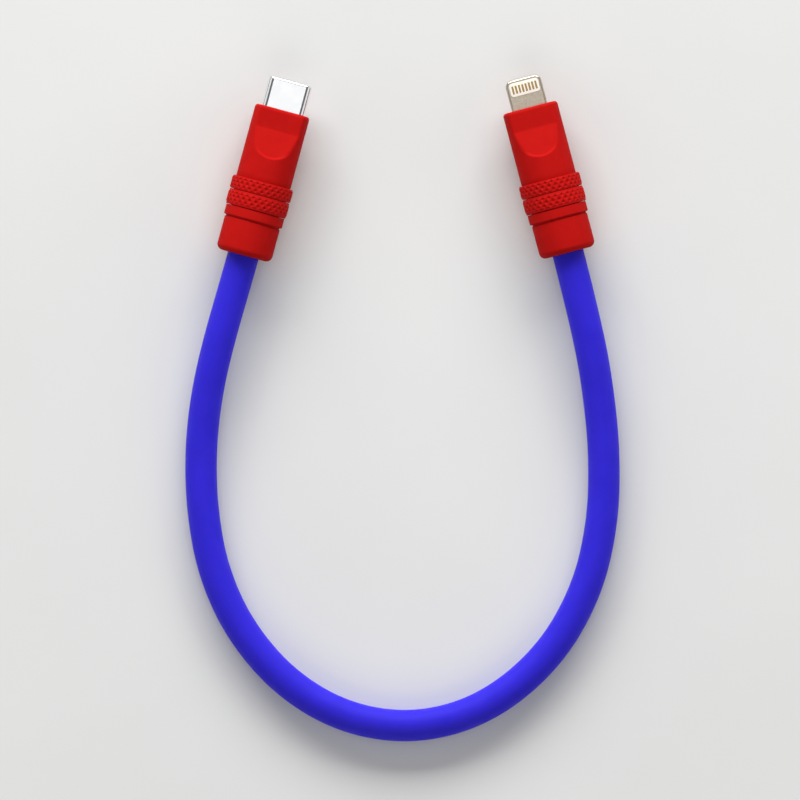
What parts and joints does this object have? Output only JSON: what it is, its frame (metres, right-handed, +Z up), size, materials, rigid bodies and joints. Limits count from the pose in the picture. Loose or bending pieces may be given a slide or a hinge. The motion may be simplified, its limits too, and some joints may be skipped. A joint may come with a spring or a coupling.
{
  "type": "charging cable",
  "caption": "Short thick charging cable lying in a loop, with a reversible oval plug at one end and a flat blade plug at the other, in round knurled grips.",
  "frame": {"origin": "on the table, under the middle of the box that holds the two plugs, without the cable", "axes": "+X from the oval plug to the blade plug, +Y to the plugs' noses, +Z up from the table"},
  "size_m": [0.0798, 0.1225, 0.0115],
  "materials": {
    "red_grip": "soft-touch matt red",
    "red_ring": "matt red, diamond knurled",
    "red_sleeve": "matt red",
    "natural_plastic": "as moulded",
    "tin_plate": "tin plated",
    "board_laminate": "green solder mask",
    "black_ceramic": "matt black",
    "wire_insulation": "as extruded",
    "ferrule_metal": "drawn",
    "plated_steel": "satin nickel plate",
    "spring_steel": "as rolled",
    "black_plastic": "as moulded",
    "gold_plate": "gold plate",
    "blade_metal": "fine-blasted, warm grey",
    "white_plastic": "as moulded",
    "blue_silicone": "smooth matt silicone",
    "tinned_braid": "tinned copper braid",
    "power_insulation": "as extruded",
    "ground_insulation": "as extruded",
    "data_insulation": "as extruded",
    "control_insulation": "as extruded",
    "filler_yarn": "spun yarn"
  },
  "bodies": {
    "root": {"blade_plug_board_components": "black_ceramic", "blade_plug_circuit_board": "board_laminate", "blade_plug_contact_block": "white_plastic", "blade_plug_crimp_ferrule": "ferrule_metal", "blade_plug_front_knurled_ring": "red_ring", "blade_plug_grip_shell": "red_grip", "blade_plug_inner_mould": "natural_plastic", "blade_plug_lower_contacts": "gold_plate", "blade_plug_metal_frame": "blade_metal", "blade_plug_rear_knurled_ring": "red_ring", "blade_plug_rear_sleeve": "red_sleeve", "blade_plug_shield_can": "tin_plate", "blade_plug_upper_contacts": "gold_plate", "blade_plug_wire_ends": "wire_insulation", "cable_control_wire": "control_insulation", "cable_data_wires": "data_insulation", "cable_filler_cord": "filler_yarn", "cable_ground_wire": "ground_insulation", "cable_jacket": "blue_silicone", "cable_power_wire": "power_insulation", "cable_shield_braid": "tinned_braid", "oval_plug_board_components": "black_ceramic", "oval_plug_circuit_board": "board_laminate", "oval_plug_contact_housing": "black_plastic", "oval_plug_crimp_ferrule": "ferrule_metal", "oval_plug_front_knurled_ring": "red_ring", "oval_plug_grip_shell": "red_grip", "oval_plug_inner_mould": "natural_plastic", "oval_plug_latch_spring": "spring_steel", "oval_plug_lower_contacts": "gold_plate", "oval_plug_metal_shell": "plated_steel", "oval_plug_rear_knurled_ring": "red_ring", "oval_plug_rear_sleeve": "red_sleeve", "oval_plug_shield_can": "tin_plate", "oval_plug_upper_contacts": "gold_plate", "oval_plug_wire_ends": "wire_insulation"}
  },
  "joints": []
}
